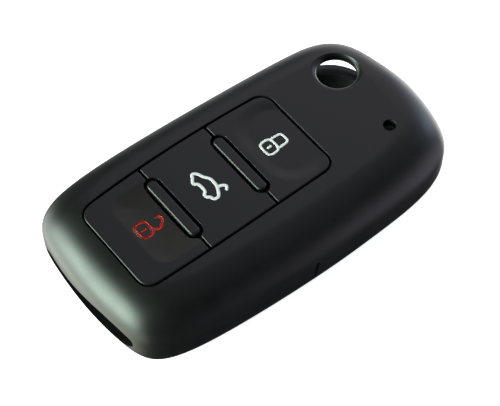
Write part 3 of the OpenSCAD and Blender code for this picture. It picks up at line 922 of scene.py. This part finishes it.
makePicture(lockPad, "lockIcon", "lock_icon", whiteInk, lockLines)
makePicture(lockPad, "lockKeyhole", "lock_keyhole", whiteInk, lockKeyhole)
makePicture(bootPad, "bootIcon", "boot_icon", whiteInk, bootLines)
makePicture(unlockPad, "unlockIcon", "unlock_icon", redInk, unlockLines, channel=True)
makePicture(unlockPad, "unlockKeyhole", "unlock_keyhole", redInk, unlockKeyhole, channel=True)
print("pictures made")


# Floor, light and camera

studio = {
    "floorSize": 4.0, "floorGap": 0.02 * mm, "floorGlow": 0.9, "floorRoughness": 0.9,
    "floorColour": (0.92, 0.92, 0.92, 1), "glowColour": (1, 1, 1, 1), "base": (0.02, 0.02, 0.022),
    # direction, how far it reaches and where it is full in degrees, colour
    "glows": [((-0.33, -0.93, 0.15), 31, 1, (20.1, 25.4, 21.4)),
              ((-0.50, 0.75, -0.43), 41, 6, (1.8, 1.75, 1.8)),
              ((-0.03, 0.98, 0.21), 21, 3, (2.75, 3.5, 4.4)),
              ((-0.75, -0.54, -0.38), 36, 5, (4.4, 4.9, 4.5)),
              ((-0.16, 0.85, -0.50), 26, 1, (2.0, 2.05, 2.1)),
              ((-0.55, 0.57, 0.61), 32, 4, (1.28, 1.2, 1.36)),
              ((0.22, 0.46, 0.86), 37, 5, (0.3, 0.27, 0.3)),
              ((-0.01, -0.92, -0.40), 32, 1, (3.3, 3.9, 3.1)),
              ((0.66, 0.73, -0.17), 37, 5, (1.35, 1.3, 1.55)),
              ((-0.40, -0.50, -0.77), 26, 2, (2.0, 1.95, 1.6))],
}


def makeFloor():
    bm = bmesh.new()
    bmesh.ops.create_grid(bm, x_segments=1, y_segments=1, size=studio["floorSize"] / 2)
    bmesh.ops.translate(bm, vec=(0, 0, -studio["floorGap"]), verts=bm.verts)
    material, _, shader, _ = newNodes("paleFloor")
    shader.inputs["Base Color"].default_value = studio["floorColour"]
    shader.inputs["Roughness"].default_value = studio["floorRoughness"]
    shader.inputs["Emission Color"].default_value = studio["glowColour"]
    shader.inputs["Emission Strength"].default_value = studio["floorGlow"]
    floor = makePiece("floor", bm, material)
    floor.visible_glossy = False     # keeps the white sweep out of the dark sides


def makeWorld():
    # dim room with soft glows in a few directions
    world = bpy.data.worlds.new("studioWorld")
    world.use_nodes = True
    tree = world.node_tree
    background = tree.nodes["Background"]
    toward = tree.nodes.new("ShaderNodeTexCoord").outputs["Generated"]
    total = None
    for direction, reach, full, colour in studio["glows"]:
        dot = tree.nodes.new("ShaderNodeVectorMath")
        dot.operation = "DOT_PRODUCT"
        dot.inputs[1].default_value = Vector(direction).normalized()
        tree.links.new(toward, dot.inputs[0])
        rise = tree.nodes.new("ShaderNodeMapRange")
        rise.interpolation_type = "SMOOTHSTEP"
        rise.inputs["From Min"].default_value = math.cos(math.radians(reach))
        rise.inputs["From Max"].default_value = math.cos(math.radians(full))
        tree.links.new(dot.outputs["Value"], rise.inputs["Value"])
        tint = tree.nodes.new("ShaderNodeVectorMath")
        tint.operation = "MULTIPLY_ADD"
        tint.inputs[1].default_value = colour
        tree.links.new(rise.outputs["Result"], tint.inputs[0])
        if total is None:
            tint.inputs[2].default_value = studio["base"]
        else:
            tree.links.new(total, tint.inputs[2])
        total = tint.outputs["Vector"]
    tree.links.new(total, background.inputs["Color"])
    bpy.context.scene.world = world


makeFloor()
makeWorld()
bpy.context.scene.view_settings.view_transform = "Standard"

view = {
    "eye": (136.2 * mm, -109.45 * mm, 274.0 * mm), "azimuth": 51.27, "elevation": 57.0, "lens": 115.2,
    "clipStart": 0.01,
}
azimuth, elevation = math.radians(view["azimuth"]), math.radians(view["elevation"])
back = Vector((math.sin(azimuth) * math.cos(elevation), -math.cos(azimuth) * math.cos(elevation),
               math.sin(elevation)))
right = Vector((math.cos(azimuth), math.sin(azimuth), 0))
up = back.cross(right)
camera = bpy.data.objects.new("camera", bpy.data.cameras.new("camera"))
bpy.context.scene.collection.objects.link(camera)
camera.data.lens = view["lens"]
camera.data.clip_start = view["clipStart"]
camera.matrix_world = Matrix.Translation(view["eye"]) @ Matrix((right, up, back)).transposed().to_4x4()
bpy.context.scene.camera = camera
print("studio made")
